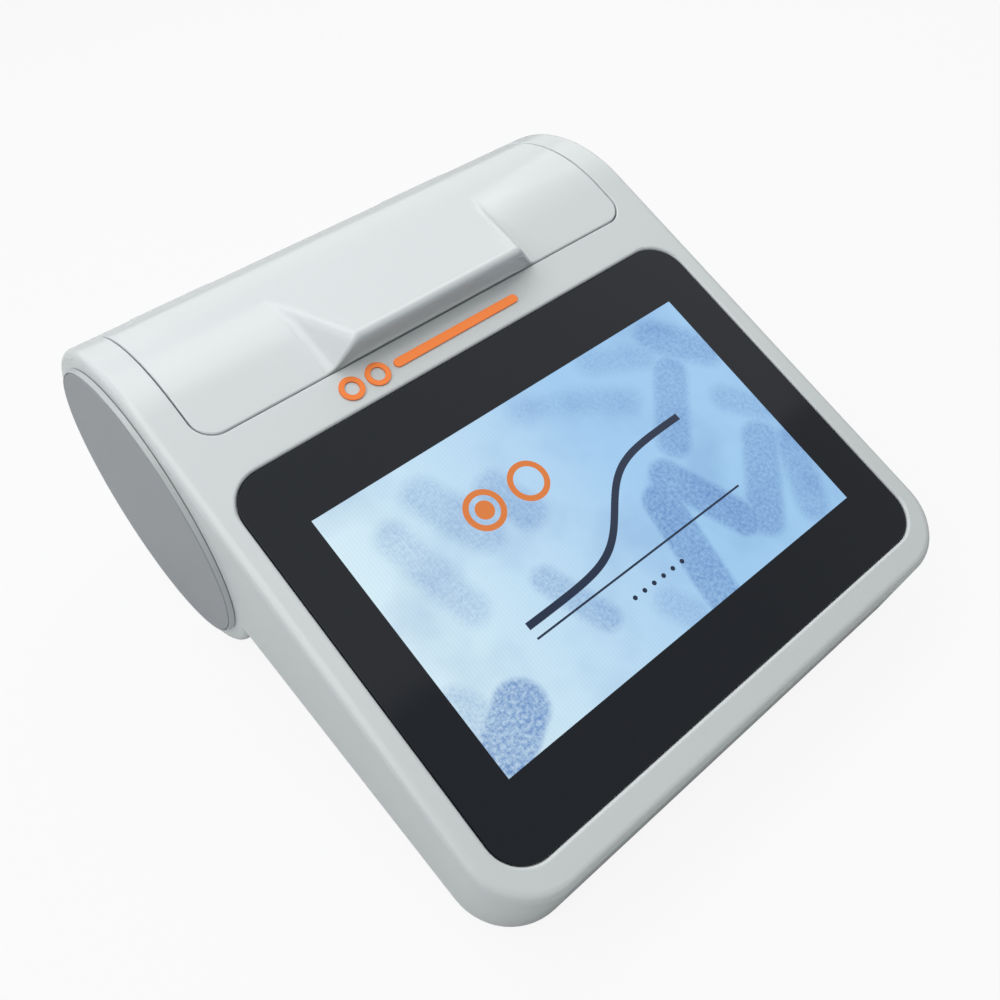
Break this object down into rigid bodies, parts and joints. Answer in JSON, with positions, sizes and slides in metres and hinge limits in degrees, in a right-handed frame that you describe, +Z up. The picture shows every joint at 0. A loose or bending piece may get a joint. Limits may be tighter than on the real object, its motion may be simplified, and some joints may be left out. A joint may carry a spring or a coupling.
{
  "type": "bench fluorometer",
  "caption": "Bench fluorometer with an inclined touch screen, a barrel-shaped rear housing and a hinged lid over the tube wells.",
  "frame": {"origin": "on the table, under the middle of the outer box", "axes": "+X along the barrel to the user's right, +Y to the back, +Z up; the screen faces the front"},
  "size_m": [0.204, 0.2382, 0.114],
  "materials": {
    "housing_plastic": "satin, light texture",
    "collar_plastic": "satin",
    "plate_plastic": "satin",
    "cover_glass": "polished, printed black on the back",
    "gasket_foam": "matte foam",
    "display_panel": "polished",
    "tray_aluminium": "satin",
    "sheet_steel": "zinc plated",
    "screw_steel": "zinc plated",
    "black_plastic": "fine matte",
    "seal_foam": "matte foam",
    "magnet_nickel": "nickel plated",
    "pin_steel": "ground",
    "block_aluminium": "black anodised",
    "filter_glass": "coated, polished",
    "lens_glass": "polished",
    "board_laminate": "solder mask",
    "led_epoxy": "clear epoxy",
    "diode_can": "plated can",
    "chip_plastic": "moulded",
    "switch_plastic": "gloss",
    "socket_steel": "nickel plated",
    "foot_rubber": "matte",
    "trim_copper": "copper-orange metallic"
  },
  "bodies": {
    "housing": {"upper_housing": "housing_plastic", "lower_housing": "housing_plastic", "left_end_collar": "collar_plastic", "right_end_collar": "collar_plastic", "left_end_plate": "plate_plastic", "right_end_plate": "plate_plastic", "cover_glass": "cover_glass", "glass_gasket": "gasket_foam", "lcd_panel": "display_panel", "lcd_tray": "tray_aluminium", "display_bracket": "sheet_steel", "bracket_screws": "screw_steel", "keeper_plates": "sheet_steel", "hinge_pins": "pin_steel", "well_deck": "black_plastic", "sample_block": "block_aluminium", "excitation_filters": "filter_glass", "collimating_lenses": "lens_glass", "emission_filters": "filter_glass", "led_board": "board_laminate", "excitation_leds": "led_epoxy", "detector_boards": "board_laminate", "photodiodes": "diode_can", "main_board": "board_laminate", "board_parts": "chip_plastic", "switch_body": "switch_plastic", "dc_inlet": "switch_plastic", "usb_socket": "socket_steel", "port_board": "board_laminate", "front_feet": "foot_rubber", "rear_feet": "foot_rubber", "trim_inlay": "trim_copper", "base_screws": "screw_steel", "board_screws": "screw_steel", "deck_screws": "screw_steel", "port_screws": "screw_steel"},
    "lid": {"lid_shell": "housing_plastic", "lid_liner": "black_plastic", "lid_seal": "seal_foam", "lid_magnets": "magnet_nickel"},
    "rocker": {"power_rocker": "switch_plastic"}
  },
  "joints": [
    {"name": "lid_hinge", "type": "hinge", "parent": "housing", "child": "lid", "pos_m": [0, 0.11, 0.09081], "axis": [-1, 0, 0], "range_deg": [0, 100]},
    {"name": "rocker_pivot", "type": "hinge", "parent": "housing", "child": "rocker", "pos_m": [-0.022, 0.10214, 0.0365], "axis": [1, 0, 0], "range_deg": [0, 16]}
  ]
}
